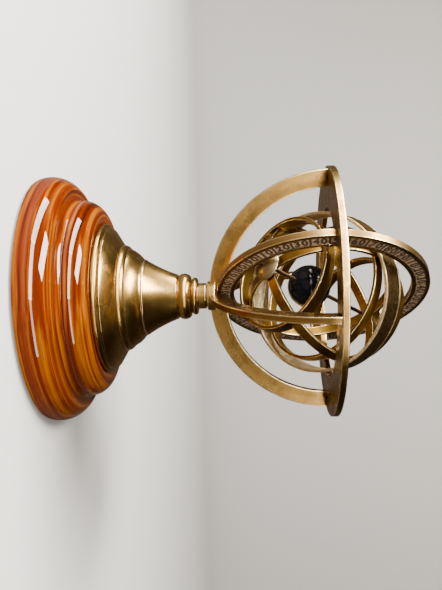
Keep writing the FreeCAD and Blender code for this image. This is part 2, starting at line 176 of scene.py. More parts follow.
@dataclass
class Shell:
    """Corners, rim marks and faces of a mesh while it is made, in millimetres."""

    corners: list[Vector] = field(default_factory=list)
    rims: list[float] = field(default_factory=list)
    faces: list[tuple[int, ...]] = field(default_factory=list)

    def skin(self, loops: Sequence[Sequence[tuple[Vector, float]]], closed: bool) -> "Shell":
        """Joins a row of matching loops into a closed skin.

        Args:
            loops: the loops in order, each a list of corner and rim mark.
            closed: whether the last loop joins on to the first; if not, both ends are capped.

        Returns:
            The shell itself.
        """
        base = len(self.corners)
        width = len(loops[0])
        for loop in loops:
            for corner, rim in loop:
                self.corners.append(corner)
                self.rims.append(rim)
        spans = len(loops) if closed else len(loops) - 1
        for i in range(spans):
            this = base + i * width
            following = base + ((i + 1) % len(loops)) * width
            for j in range(width):
                k = (j + 1) % width
                self.faces.append((this + j, this + k, following + k, following + j))
        if not closed:
            last = base + (len(loops) - 1) * width
            self.faces.append(tuple(range(base + width - 1, base - 1, -1)))
            self.faces.append(tuple(range(last, last + width)))
        return self

    def turned(self, section: Sequence[Rimmed], segments: int = 192) -> "Shell":
        """Turns a section of radius, height and rim mark all the way round Z."""
        loops = []
        for index in range(segments):
            angle = math.tau * index / segments
            across = Vector((math.cos(angle), math.sin(angle), 0))
            loops.append([(across * r + Vector((0, 0, z)), rim) for r, z, rim in section])
        return self.skin(loops, closed=True)

    def plate(
        self, pairs: Sequence[tuple[Vector, Vector]], thickness: float, edge: float, closed: bool
    ) -> "Shell":
        """Builds a flat plate from pairs of inner and outer points on the plane Z = 0.

        Args:
            pairs: inner and outer edge point, in order along the plate.
            thickness: the plate's thickness, centred on the plane.
            edge: how far its long edges are rounded.
            closed: whether it runs all the way round.

        Returns:
            The shell itself.
        """
        loops = []
        for inner, outer in pairs:
            across = outer - inner
            half = thickness / 2
            section = box_outline((0, -half), (across.length, half)).softened(edge)
            along = across.normalized()
            loops.append([(inner + along * s + Vector((0, 0, z)), rim) for s, z, rim in section])
        return self.skin(loops, closed)

    def made(self, name: str, sharp: float = 42.0) -> bpy.types.Object:
        """Makes the object, smooth but for edges sharper than an angle in degrees."""
        mesh = bpy.data.meshes.new(name)
        mesh.from_pydata([corner * MM for corner in self.corners], [], self.faces)
        marks = mesh.attributes.new("rim", "FLOAT", "POINT")
        marks.data.foreach_set("value", self.rims)
        work = bmesh.new()
        work.from_mesh(mesh)
        bmesh.ops.remove_doubles(work, verts=work.verts, dist=1e-7)
        bmesh.ops.recalc_face_normals(work, faces=work.faces)
        work.to_mesh(mesh)
        work.free()
        mesh.shade_smooth()
        mesh.set_sharp_from_angle(angle=math.radians(sharp))
        return linked(name, mesh)


def linked(name: str, mesh: bpy.types.Mesh) -> bpy.types.Object:
    """Makes an object of a mesh and stores the mesh's own coordinates on its points."""
    own = mesh.attributes.new("own_place", "FLOAT_VECTOR", "POINT")
    flat = [0.0] * (3 * len(mesh.vertices))
    mesh.vertices.foreach_get("co", flat)
    own.data.foreach_set("vector", flat)
    piece = bpy.data.objects.new(name, mesh)
    bpy.context.scene.collection.objects.link(piece)
    return piece


def hoop_shell(outer: float, inner: float, width: float, edge: float) -> Shell:
    """A flat-walled hoop round Z with softened edges."""
    section = box_outline((inner, -width / 2), (outer, width / 2)).softened(edge)
    return Shell().turned(section, segments=240)


def place(
    piece: bpy.types.Object,
    body: Body,
    finish: "Finish",
    placement: Matrix | None = None,
    nodes: Iterable[str] = (),
) -> bpy.types.Object:
    """Dresses a piece, puts it in its place and ties it to its body.

    Args:
        piece: the new object, still at the origin.
        body: the moving body that it rides on.
        finish: its finish.
        placement: where it goes in the row frame, in metres.
        nodes: the plain nodes that it stands for.

    Returns:
        The piece.
    """
    if placement is not None:
        piece.data.transform(placement)
    piece.data.materials.clear()
    piece.data.materials.append(finish.material())
    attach(piece, body.value)
    named = list(nodes)
    if named:
        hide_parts(*named)
    log.info("%s rides on %s with %d faces", piece.name, body.value, len(piece.data.polygons))
    return piece


# ------------------------------------------------------------------ shader groups


@dataclass
class Tree:
    """A node tree with short ways to add nodes and wires."""

    tree: bpy.types.NodeTree

    def add(self, kind: str, **settings: object) -> bpy.types.Node:
        """Adds a node and sets its plain properties."""
        node = self.tree.nodes.new(kind)
        for name, value in settings.items():
            setattr(node, name, value)
        return node

    def wire(self, source: bpy.types.NodeSocket, target: bpy.types.NodeSocket) -> None:
        """Joins an output to an input."""
        self.tree.links.new(source, target)

    def noise(
        self, vector: bpy.types.NodeSocket, scale: float, detail: float = 4.0, rough: float = 0.55
    ) -> bpy.types.NodeSocket:
        """A noise value over a vector."""
        node = self.add("ShaderNodeTexNoise")
        node.inputs["Scale"].default_value = scale
        node.inputs["Detail"].default_value = detail
        node.inputs["Roughness"].default_value = rough
        self.wire(vector, node.inputs["Vector"])
        return node.outputs["Fac"]

    def spread(
        self, value: bpy.types.NodeSocket, low: float, high: float, to_low: float, to_high: float
    ) -> bpy.types.NodeSocket:
        """A value mapped from one range to another and held inside it."""
        node = self.add("ShaderNodeMapRange", clamp=True)
        for index, number in enumerate((low, high, to_low, to_high), start=1):
            node.inputs[index].default_value = number
        self.wire(value, node.inputs[0])
        return node.outputs[0]

    def maths(
        self, operation: str, first: bpy.types.NodeSocket, second: bpy.types.NodeSocket | float
    ) -> bpy.types.NodeSocket:
        """A sum, product or other plain operation on two values."""
        node = self.add("ShaderNodeMath", operation=operation)
        self.wire(first, node.inputs[0])
        if isinstance(second, (int, float)):
            node.inputs[1].default_value = second
        else:
            self.wire(second, node.inputs[1])
        return node.outputs[0]

    def blend(
        self, share: bpy.types.NodeSocket, first: object, second: object, mode: str = "MIX"
    ) -> bpy.types.NodeSocket:
        """Mixes two colours, each a socket or a plain colour."""
        node = self.add("ShaderNodeMix", data_type="RGBA", blend_type=mode)
        self.wire(share, node.inputs[0])
        for socket, value in ((node.inputs[6], first), (node.inputs[7], second)):
            if isinstance(value, bpy.types.NodeSocket):
                self.wire(value, socket)
            else:
                socket.default_value = value
        return node.outputs[2]

    def scaled(
        self, vector: bpy.types.NodeSocket, scale: bpy.types.NodeSocket | float
    ) -> bpy.types.NodeSocket:
        """A vector times a number."""
        node = self.add("ShaderNodeVectorMath", operation="SCALE")
        self.wire(vector, node.inputs[0])
        if isinstance(scale, (int, float)):
            node.inputs["Scale"].default_value = scale
        else:
            self.wire(scale, node.inputs["Scale"])
        return node.outputs[0]

    def group(
        self,
        group: bpy.types.NodeTree,
        vector: bpy.types.NodeSocket,
        values: dict[str, float | Colour],
    ) -> bpy.types.Node:
        """Places a shader group over a vector, with its own values."""
        node = self.add("ShaderNodeGroup", node_tree=group)
        for label, value in values.items():
            node.inputs[label].default_value = value
        self.wire(vector, node.inputs["Vector"])
        return node

    def round_axis(self, vector: bpy.types.NodeSocket) -> bpy.types.NodeSocket:
        """The vector (distance from the Z axis, 0, height) of each point."""
        split = self.add("ShaderNodeSeparateXYZ")
        self.wire(vector, split.inputs[0])
        flat = self.add("ShaderNodeCombineXYZ")
        self.wire(split.outputs[0], flat.inputs[0])
        self.wire(split.outputs[1], flat.inputs[1])
        length = self.add("ShaderNodeVectorMath", operation="LENGTH")
        self.wire(flat.outputs[0], length.inputs[0])
        joined = self.add("ShaderNodeCombineXYZ")
        self.wire(length.outputs["Value"], joined.inputs[0])
        self.wire(split.outputs[2], joined.inputs[2])
        return joined.outputs[0]


class SocketKind(Enum):
    """The kinds of socket that a shader group shows."""

    VALUE = "NodeSocketFloat"
    COLOUR = "NodeSocketColor"
    VECTOR = "NodeSocketVector"


Sockets = Sequence[tuple[str, SocketKind]]
made_groups: dict[str, bpy.types.NodeTree] = {}


def shader_group(
    name: str, inputs: Sockets, outputs: Sockets, fill: Callable[[Tree, object, object], None]
) -> bpy.types.NodeTree:
    """Builds a shader group once and hands the same one out after that.

    Args:
        name: the group's name.
        inputs: its input sockets.
        outputs: its output sockets.
        fill: puts the nodes in, given the tree, the input node's outputs and the output
            node's inputs.

    Returns:
        The group.
    """
    if name in made_groups:
        return made_groups[name]
    group = bpy.data.node_groups.new(name, "ShaderNodeTree")
    for in_out, sockets in (("INPUT", inputs), ("OUTPUT", outputs)):
        for label, kind in sockets:
            group.interface.new_socket(name=label, in_out=in_out, socket_type=kind.value)
    tree = Tree(group)
    entry = tree.add("NodeGroupInput")
    leave = tree.add("NodeGroupOutput")
    fill(tree, entry.outputs, leave.inputs)
    made_groups[name] = group
    return group


def aged_metal_group() -> bpy.types.NodeTree:
    """Metal gone brown in clouds and spots, worn bright on outer corners, and darkened in inner
    ones by grime and painted shade.
    """

    def fill(tree: Tree, given: object, out: object) -> None:
        """Puts the nodes in."""
        vector = tree.scaled(given["Vector"], given["Mottle Scale"])
        clouds = tree.noise(vector, 1.0, 5.0, 0.6)
        spots = tree.noise(vector, 7.0, 3.0, 0.7)
        scratches = tree.noise(vector, 23.0, 2.0, 0.6)
        stain = tree.maths("MULTIPLY", tree.spread(clouds, 0.38, 0.68, 0, 1), given["Patina"])
        fleck = tree.maths("MULTIPLY", tree.spread(spots, 0.56, 0.72, 0, 0.7), given["Patina"])
        aged = tree.blend(tree.maths("MAXIMUM", stain, fleck), given["Base"], given["Dark"])
        # Inner corners take the grime colour: partly real grime, partly painted shade where the
        # corners lie in shadow.
        inner = tree.spread(given["Rim"], -1, 0, 1, 0)
        grimed_and_shaded = tree.blend(tree.maths("MULTIPLY", inner, 0.85), aged, given["Grime"])
        outer = tree.spread(given["Rim"], 0, 1, 0, 1)
        worn = tree.maths("MULTIPLY", outer, tree.spread(spots, 0.3, 0.6, 0.45, 1))
        tree.wire(tree.blend(worn, grimed_and_shaded, given["Bright"]), out["Color"])
        rough = tree.maths("ADD", tree.spread(clouds, 0.3, 0.7, 0.24, 0.40), given["Dullness"])
        smoothed = tree.maths("SUBTRACT", rough, tree.maths("MULTIPLY", worn, 0.08))
        tree.wire(
            tree.maths("ADD", smoothed, tree.maths("MULTIPLY", inner, 0.25)), out["Roughness"]
        )
        uneven = tree.maths("ADD", tree.maths("MULTIPLY", scratches, 0.4), clouds)
        tree.wire(uneven, out["Height"])

    return shader_group(
        "aged_metal",
        [
            ("Vector", SocketKind.VECTOR),
            ("Bright", SocketKind.COLOUR),
            ("Base", SocketKind.COLOUR),
            ("Dark", SocketKind.COLOUR),
            ("Grime", SocketKind.COLOUR),
            ("Mottle Scale", SocketKind.VALUE),
            ("Patina", SocketKind.VALUE),
            ("Dullness", SocketKind.VALUE),
            ("Rim", SocketKind.VALUE),
        ],
        [
            ("Color", SocketKind.COLOUR),
            ("Roughness", SocketKind.VALUE),
            ("Height", SocketKind.VALUE),
        ],
        fill,
    )


def tool_lines_group() -> bpy.types.NodeTree:
    """Fine lines running round the Z axis, as a lathe or a polishing wheel leaves them."""

    def fill(tree: Tree, given: object, out: object) -> None:
        """Puts the nodes in."""
        round_z = tree.round_axis(given["Vector"])
        fine = tree.noise(tree.scaled(round_z, given["Lines"]), 1.0, 3.0, 0.7)
        coarse = tree.noise(tree.scaled(round_z, given["Lines"]), 0.22, 2.0, 0.5)
        tree.wire(tree.maths("ADD", tree.maths("MULTIPLY", coarse, 0.6), fine), out["Height"])
        tree.wire(tree.spread(coarse, 0.35, 0.65, 0, 1), out["Mask"])

    return shader_group(
        "tool_lines",
        [("Vector", SocketKind.VECTOR), ("Lines", SocketKind.VALUE)],
        [("Height", SocketKind.VALUE), ("Mask", SocketKind.VALUE)],
        fill,
    )


def grain_group() -> bpy.types.NodeTree:
    """Bands of wood grain round a turned piece, with streaks of pores along them."""

    def fill(tree: Tree, given: object, out: object) -> None:
        """Puts the nodes in."""
        wander = tree.noise(given["Vector"], 22.0, 2.0)
        shift = tree.add("ShaderNodeCombineXYZ")
        push = tree.maths("MULTIPLY", tree.maths("SUBTRACT", wander, 0.5), 0.0032)
        tree.wire(push, shift.inputs[0])
        tree.wire(push, shift.inputs[2])
        moved = tree.add("ShaderNodeVectorMath", operation="ADD")
        tree.wire(tree.round_axis(given["Vector"]), moved.inputs[0])
        tree.wire(shift.outputs[0], moved.inputs[1])
        bands = tree.noise(tree.scaled(moved.outputs[0], given["Bands"]), 1.0, 2.5, 0.5)
        threads = tree.noise(tree.scaled(moved.outputs[0], given["Bands"]), 5.5, 3.0, 0.6)
        clouds = tree.noise(given["Vector"], 45.0, 3.0)
        mid_share = tree.spread(bands, 0.30, 0.50, 0, 1)
        light_share = tree.spread(bands, 0.50, 0.68, 0, 1)
        deep = tree.blend(mid_share, given["Dark"], given["Middle"])
        shown = tree.blend(light_share, deep, given["Light"])
        thin = tree.spread(threads, 0.50, 0.68, 0, 0.55)
        threaded = tree.blend(thin, shown, given["Dark"])
        tree.wire(
            tree.blend(tree.spread(clouds, 0.45, 0.75, 0, 0.35), threaded, given["Dark"]),
            out["Color"],
        )
        tree.wire(threads, out["Height"])

    return shader_group(
        "wood_grain",
        [
            ("Vector", SocketKind.VECTOR),
            ("Light", SocketKind.COLOUR),
            ("Middle", SocketKind.COLOUR),
            ("Dark", SocketKind.COLOUR),
            ("Bands", SocketKind.VALUE),
        ],
        [("Color", SocketKind.COLOUR), ("Height", SocketKind.VALUE)],
        fill,
    )


def stipple_group() -> bpy.types.NodeTree:
    """Small punched pits, dark inside."""

    def fill(tree: Tree, given: object, out: object) -> None:
        """Puts the nodes in."""
        cells = tree.add("ShaderNodeTexVoronoi")
        tree.wire(given["Vector"], cells.inputs["Vector"])
        tree.wire(given["Pits"], cells.inputs["Scale"])
        cloud = tree.noise(given["Vector"], 900.0, 3.0, 0.7)
        hollow = tree.spread(cells.outputs["Distance"], 0.15, 0.5, 1, 0)
        strength = tree.maths("MULTIPLY", hollow, tree.spread(cloud, 0.4, 0.6, 0.1, 1))
        plain = tree.maths("SUBTRACT", strength, tree.spread(given["Rim"], 0, 1, 0, 1))
        tree.wire(tree.spread(plain, 0, 1, 0, 1), out["Mask"])
        tree.wire(tree.maths("MULTIPLY", plain, -1.0), out["Height"])

    return shader_group(
        "punched_pits",
        [
            ("Vector", SocketKind.VECTOR),
            ("Pits", SocketKind.VALUE),
            ("Rim", SocketKind.VALUE),
        ],
        [("Mask", SocketKind.VALUE), ("Height", SocketKind.VALUE)],
        fill,
    )


# ------------------------------------------------------------------ finishes


made_materials: dict[str, bpy.types.Material] = {}


@dataclass(frozen=True)
class Finish:
    """A named finish; each kind says how its material is put together."""

    name: str
    slot: str
    as_made: bool = False

    def material(self) -> bpy.types.Material:
        """The finish's material, made the first time it is asked for."""
        if self.name not in made_materials:
            material = bpy.data.materials.new(self.name)
            material.use_nodes = True
            tree = Tree(material.node_tree)
            shader = material.node_tree.nodes["Principled BSDF"]
            self.dress(tree, shader)
            made_materials[self.name] = material
        return made_materials[self.name]

    def dress(self, tree: Tree, shader: bpy.types.Node) -> None:
        """Sets the shader and wires what changes over the surface."""
        raise NotImplementedError

    def local(self, tree: Tree) -> bpy.types.NodeSocket:
        """Coordinates in metres: the piece's own ones, or the row frame's on a plain node."""
        if self.as_made:
            return tree.add("ShaderNodeTexCoord").outputs["Object"]
        return tree.add("ShaderNodeAttribute", attribute_name="own_place").outputs["Vector"]

    @staticmethod
    def rim(tree: Tree) -> bpy.types.NodeSocket:
        """The rim mark stored on the mesh."""
        return tree.add("ShaderNodeAttribute", attribute_name="rim").outputs["Fac"]

    @staticmethod
    def bump(
        tree: Tree,
        shader: bpy.types.Node,
        height: bpy.types.NodeSocket,
        strength: float,
        depth: float,
    ) -> None:
        """Feeds a height through a Bump node, its depth in metres."""
        node = tree.add("ShaderNodeBump")
        node.inputs["Strength"].default_value = strength
        node.inputs["Distance"].default_value = depth
        tree.wire(height, node.inputs["Height"])
        tree.wire(node.outputs["Normal"], shader.inputs["Normal"])


@dataclass(frozen=True)
class AgedBrass(Finish):
    """Satin brass with an aged tint, tool lines round its axis and bright rims."""

    bright: Colour = (0.95, 0.76, 0.42, 1)
    base: Colour = (0.37, 0.215, 0.058, 1)
    dark: Colour = (0.09, 0.042, 0.009, 1)
    # Inner-corner colour: grime plus painted shade in the corners.
    grime: Colour = (0.03, 0.016, 0.007, 1)
    mottle: float = 160.0
    patina: float = 0.6
    dullness: float = 0.0
    lines: float = 2600.0
    line_depth: float = 0.00002
    pits: float = 0.0
    pit_colour: Colour = (0.05, 0.028, 0.012, 1)

    def dress(self, tree: Tree, shader: bpy.types.Node) -> None:
        """Sets the shader and wires what changes over the surface."""
        vector = self.local(tree)
        rim = self.rim(tree)
        aged = tree.group(
            aged_metal_group(),
            vector,
            {
                "Bright": self.bright,
                "Base": self.base,
                "Dark": self.dark,
                "Grime": self.grime,
                "Mottle Scale": self.mottle,
                "Patina": self.patina,
                "Dullness": self.dullness,
            },
        )
        tree.wire(rim, aged.inputs["Rim"])
        turned = tree.group(tool_lines_group(), vector, {"Lines": self.lines})
        toned = tree.blend(
            tree.maths("MULTIPLY", turned.outputs["Mask"], 0.30), aged.outputs["Color"], self.dark
        )
        height = turned.outputs["Height"]
        rough = aged.outputs["Roughness"]
        if self.pits:
            punched = tree.group(stipple_group(), vector, {"Pits": self.pits})
            tree.wire(rim, punched.inputs["Rim"])
            toned = tree.blend(punched.outputs["Mask"], toned, self.pit_colour)
            height = tree.maths("MULTIPLY", punched.outputs["Height"], 6.0)
            rough = tree.maths("ADD", rough, tree.maths("MULTIPLY", punched.outputs["Mask"], 0.2))
        tree.wire(toned, shader.inputs["Base Color"])
        tree.wire(rough, shader.inputs["Roughness"])
        shader.inputs["Metallic"].default_value = 1.0
        self.bump(tree, shader, height, 0.55, self.line_depth)


@dataclass(frozen=True)
class LacqueredWood(Finish):
    """Banded red-brown wood under a thick clear gloss."""

    light: Colour = (0.26, 0.080, 0.0, 1)
    middle: Colour = (0.105, 0.0125, 0.0, 1)
    dark: Colour = (0.016, 0.001, 0.0, 1)
    bands: float = 620.0

    def dress(self, tree: Tree, shader: bpy.types.Node) -> None:
        """Sets the shader and wires what changes over the surface."""
        tones = {"Light": self.light, "Middle": self.middle, "Dark": self.dark}
        grain = tree.group(grain_group(), self.local(tree), {**tones, "Bands": self.bands})
        tree.wire(grain.outputs["Color"], shader.inputs["Base Color"])
        tree.wire(
            tree.spread(grain.outputs["Height"], 0.3, 0.7, 0.34, 0.46), shader.inputs["Roughness"]
        )
        shader.inputs["Specular IOR Level"].default_value = 0.0
        shader.inputs["Coat Weight"].default_value = 1.0
        shader.inputs["Coat Roughness"].default_value = 0.035
        shader.inputs["Coat IOR"].default_value = 1.55
        self.bump(tree, shader, grain.outputs["Height"], 0.12, 0.00004)


@dataclass(frozen=True)
class PlainFinish(Finish):
    """A quiet finish, such as felt, steel or black filler, mottled by noise."""

    tone: Colour = (0.5, 0.5, 0.5, 1)
    second: Colour = (0.4, 0.4, 0.4, 1)
    scale: float = 800.0
    metallic: float = 0.0
    roughness: tuple[float, float] = (0.4, 0.5)
    depth: float = 0.00003
    sheen: float = 0.0
    gloss: float = 0.5

    def dress(self, tree: Tree, shader: bpy.types.Node) -> None:
        """Sets the shader and wires what changes over the surface."""
        grains = tree.noise(self.local(tree), self.scale, 4.0, 0.6)
        tree.wire(
            tree.blend(tree.spread(grains, 0.35, 0.65, 0, 1), self.tone, self.second),
            shader.inputs["Base Color"],
        )
        tree.wire(tree.spread(grains, 0.3, 0.7, *self.roughness), shader.inputs["Roughness"])
        shader.inputs["Metallic"].default_value = self.metallic
        shader.inputs["Sheen Weight"].default_value = self.sheen
        shader.inputs["Specular IOR Level"].default_value = self.gloss
        self.bump(tree, shader, grains, 0.4, self.depth)


PEDESTAL_BRASS = AgedBrass(
    "pedestal_brass",
    "brass_turned",
    bright=(0.95, 0.78, 0.46, 1),
    base=(0.48, 0.295, 0.085, 1),
    dark=(0.20, 0.10, 0.018, 1),
    # Inner-corner colour: grime plus painted shade in the pedestal's grooves.
    grime=(0.022, 0.012, 0.005, 1),
    mottle=90.0,
    patina=0.30,
    dullness=-0.07,
    lines=3400.0,
)
RING_BRASS = AgedBrass("ring_brass", "brass_ring", patina=0.55, dullness=-0.03)
HOOP_BRASS = AgedBrass(
    "hoop_brass",
    "brass_ring",
    base=(0.33, 0.18, 0.026, 1),
    dark=(0.055, 0.026, 0.004, 1),
    mottle=200.0,
)
CAP_BRASS = AgedBrass(
    "cap_brass",
    "brass_cap",
    bright=(0.90, 0.78, 0.50, 1),
    base=(0.44, 0.36, 0.20, 1),
    dark=(0.16, 0.11, 0.045, 1),
    patina=0.6,
)
SCALE_BRASS = AgedBrass(
    "scale_ring_brass",
    "brass_engraved",
    base=(0.36, 0.22, 0.075, 1),
    patina=0.5,
)
ZODIAC_BRASS = AgedBrass(
    "zodiac_brass",
    "brass_zodiac",
    bright=(0.90, 0.74, 0.44, 1),
    base=(0.10, 0.058, 0.018, 1),
    dark=(0.026, 0.014, 0.004, 1),
    mottle=420.0,
    patina=0.9,
    dullness=0.14,
    line_depth=0.00006,
    pits=1500.0,
)
WOOD = LacqueredWood("lacquered_wood", "wood_lacquer")
AXIS_BRASS = replace(
    CAP_BRASS,
    name="axis_brass",
    as_made=True,
    base=(0.20, 0.13, 0.055, 1),
    dark=(0.05, 0.03, 0.012, 1),
)
CELL_BRASS = PlainFinish(
    "scale_cell_brass",
    "brass_engraved",
    tone=(0.44, 0.29, 0.16, 1),
    second=(0.20, 0.12, 0.06, 1),
    scale=1100.0,
    metallic=0.35,
    roughness=(0.42, 0.6),
)
FELT = PlainFinish(
    "green_felt",
    "felt",
    as_made=True,
    tone=(0.012, 0.05, 0.02, 1),
    second=(0.03, 0.10, 0.045, 1),
    scale=2600.0,
    roughness=(0.85, 1.0),
    depth=0.0002,
    sheen=0.6,
)
STEEL = PlainFinish(
    "plain_steel",
    "steel",
    as_made=True,
    tone=(0.42, 0.42, 0.43, 1),
    second=(0.30, 0.30, 0.31, 1),
    metallic=1.0,
    roughness=(0.28, 0.42),
)
BLACK_FILL = PlainFinish(
    "black_fill",
    "brass_engraved",
    tone=(0.010, 0.007, 0.005, 1),
    second=(0.035, 0.022, 0.013, 1),
    scale=2200.0,
    roughness=(0.5, 0.75),
)
BLACK_GLASS = PlainFinish(
    "black_glass",
    "earth_ball",
    tone=(0.0015, 0.0015, 0.0018, 1),
    second=(0.004, 0.004, 0.005, 1),
    scale=260.0,
    roughness=(0.10, 0.18),
    depth=0.00001,
    gloss=0.14,
)


# ------------------------------------------------------------------ places


@dataclass(frozen=True)
class Layout:
    """Where the globe sits and how it is turned, in millimetres and degrees."""

    globe_height: float = 82.1
    cradle_height: float = 83.8
    arm_centre: float = 84.6
    diagonal: float = 229.0
    latitude: float = 45.0
    spin: float = 99.0
    obliquity: float = 20.0

    def globe(self) -> Matrix:
        """The globe's own frame, +Z at its north pole."""
        lift = Matrix.Translation((0, 0, self.globe_height * MM))
        bearing = Matrix.Rotation(math.radians(self.diagonal + 180), 4, "Z")
        return lift @ bearing @ Matrix.Rotation(math.radians(90 - self.latitude), 4, "Y")

    def hoops(self) -> Matrix:
        """The globe's frame turned on its axis to where the hoops rest."""
        return self.globe() @ Matrix.Rotation(math.radians(90 - self.spin), 4, "Z")

    def meridian_face(self) -> Matrix:
        """A frame on the meridian ring: X and Y in its plane, +Z out of its graduated face."""
        lift = Matrix.Translation((0, 0, self.globe_height * MM))
        bearing = Matrix.Rotation(math.radians(self.diagonal + 180), 4, "Z")
        return lift @ bearing @ Matrix.Rotation(math.radians(90), 4, "X")

    def cradle(self, bearing: float) -> Matrix:
        """A frame on a cradle piece: X along it, Y up, its thickness along Z."""
        lift = Matrix.Translation((0, 0, self.arm_centre * MM))
        turn = Matrix.Rotation(math.radians(bearing), 4, "Z")
        return lift @ turn @ Matrix.Rotation(math.radians(90), 4, "X")


# ------------------------------------------------------------------ sub-assemblies


@dataclass
class WoodenBase:
    """The turned base of two round mouldings, with its felt, nut and washer."""

    foot: Flat = (36.2, 0.8)
    foot_swell: float = 7.6
    shoulder: Flat = (32.8, 10.0)
    cove: float = 3.0
    waist: Flat = (28.9, 11.4)
    fillet: Flat = (29.5, 12.0)
    crown: float = 5.9
    rim: Flat = (24.9, 17.7)
    seat: Flat = (23.0, 17.3)
    bore: float = 2.3
    well: Flat = (8.0, 6.4)

    def build(self) -> None:
        """Makes the wooden body and dresses the fixings under it."""
        outline = Outline([(self.well[0], self.foot[1]), self.foot])
        outline.curve(self.shoulder, self.foot_swell, 28)
        outline.curve(self.waist, -self.cove, 10)
        outline.line(self.fillet)
        outline.curve(self.rim, self.crown, 28)
        outline.line(self.seat, (self.bore, self.seat[1]), (self.bore, self.well[1]), self.well)
        body = Shell().turned(outline.softened(0.35), segments=256).made("turned_base")
        place(body, Body.STAND, WOOD, nodes=["wood_base"])
        dress_node("felt_pad", FELT)
        for name in ("tie_rod", "base_washer", "base_nut"):
            dress_node(name, STEEL)


@dataclass
class Pedestal:
    """The brass foot, trumpet cone, knob and cradle boss, turned one over another."""

    bore: float = 2.2
    lip: Flat = (22.2, 17.3)
    lip_top: Flat = (21.7, 19.1)
    lip_swell: float = 1.1
    lip_groove: Flat = (21.0, 19.3)
    lip_bead: tuple[Flat, Flat] = ((21.35, 19.5), (20.8, 20.2))
    dish_top: Flat = (16.2, 23.0)
    step_groove: Flat = (15.8, 23.15)
    step: tuple[Flat, Flat] = ((16.05, 23.35), (15.2, 24.95))
    step_swell: float = 2.2
    swell: tuple[Flat, Flat] = ((14.85, 25.15), (11.9, 28.75))
    swell_round: float = 9.0
    foot_top: Flat = (11.5, 29.3)
    cavity_roof: Flat = (9.5, 26.1)
    cavity_side: Flat = (19.0, 18.9)
    cone_edge: Flat = (11.45, 29.7)
    cone_start: Flat = (11.2, 29.95)
    cone_sweep: float = 45.0
    cone_top: Flat = (6.7, 39.1)
    bulb_edge: float = 6.1
    bulb_top: float = 42.9
    bulb_swell: float = 2.55
    neck_groove: Flat = (4.8, 43.15)
    bead_edge: Flat = (5.2, 43.4)
    bead_swell: float = 0.95
    knob_top: float = 45.0
    boss_bore: Flat = (2.02, 47.1)
    boss_core: float = 3.3
    boss_neck: Flat = (3.9, 45.3)
    boss_neck_top: float = 47.5
    boss_collar: Flat = (4.4, 47.9)
    boss_top: float = 50.5
    boss_middle: float = 0.3

    def build(self) -> None:
        """Makes the four turned pieces."""
        for name, node, outline, edge in (
            ("pedestal_foot_turned", "pedestal_foot", self.foot(), 0.18),
            ("trumpet_cone", "pedestal_cone", self.cone(), 0.2),
            ("neck_knob_turned", "neck_knob", self.knob(), 0.22),
            ("boss_turned", "cradle_boss", self.boss(), 0.3),
        ):
            piece = Shell().turned(outline.softened(edge), segments=224).made(name)
            place(piece, Body.STAND, PEDESTAL_BRASS, nodes=[node])

    def foot(self) -> Outline:
        """From the lip on the wood up to the seat under the cone."""
        outline = Outline([(self.cavity_side[0], self.lip[1]), self.lip])
        outline.curve(self.lip_top, self.lip_swell, 10)
        outline.line(self.lip_groove, *self.lip_bead, self.dish_top, self.step_groove)
        outline.line(self.step[0]).curve(self.step[1], self.step_swell, 10)
        outline.line(self.swell[0]).curve(self.swell[1], self.swell_round, 18)
        outline.line(self.foot_top, (self.bore, self.foot_top[1]))
        return outline.line((self.bore, self.cavity_roof[1]), self.cavity_roof, self.cavity_side)

    def cone(self) -> Outline:
        """The trumpet cone."""
        foot = self.foot_top[1]
        outline = Outline([(self.bore, foot), (self.cone_edge[0], foot)])
        outline.line(self.cone_edge, self.cone_start)
        outline.curve(self.cone_top, -self.cone_sweep, 20)
        return outline.line((self.bore, self.cone_top[1]))

    def knob(self) -> Outline:
        """The bulb with the bead over it."""
        foot = self.cone_top[1]
        outline = Outline([(self.bore, foot), (self.bulb_edge, foot)])
        outline.curve((self.bulb_edge, self.bulb_top), self.bulb_swell, 18)
        outline.line(self.neck_groove, self.bead_edge)
        outline.curve((self.bead_edge[0], self.knob_top), self.bead_swell, 10)
        return outline.line((self.bore, self.knob_top))

    def boss(self) -> Outline:
        """The grooved collar under the crossing of the cradle."""
        core, bore = self.boss_core, self.boss_bore
        outline = Outline([(bore[0], self.knob_top), (core, self.knob_top)])
        outline.line((core, self.boss_neck[1]), self.boss_neck)
        outline.line((self.boss_neck[0], self.boss_neck_top), (core, self.boss_neck_top))
        outline.line((core, self.boss_collar[1]), self.boss_collar)
        outline.line((self.boss_collar[0], self.boss_top), (self.boss_middle, self.boss_top))
        return outline.line((self.boss_middle, bore[1]), bore)


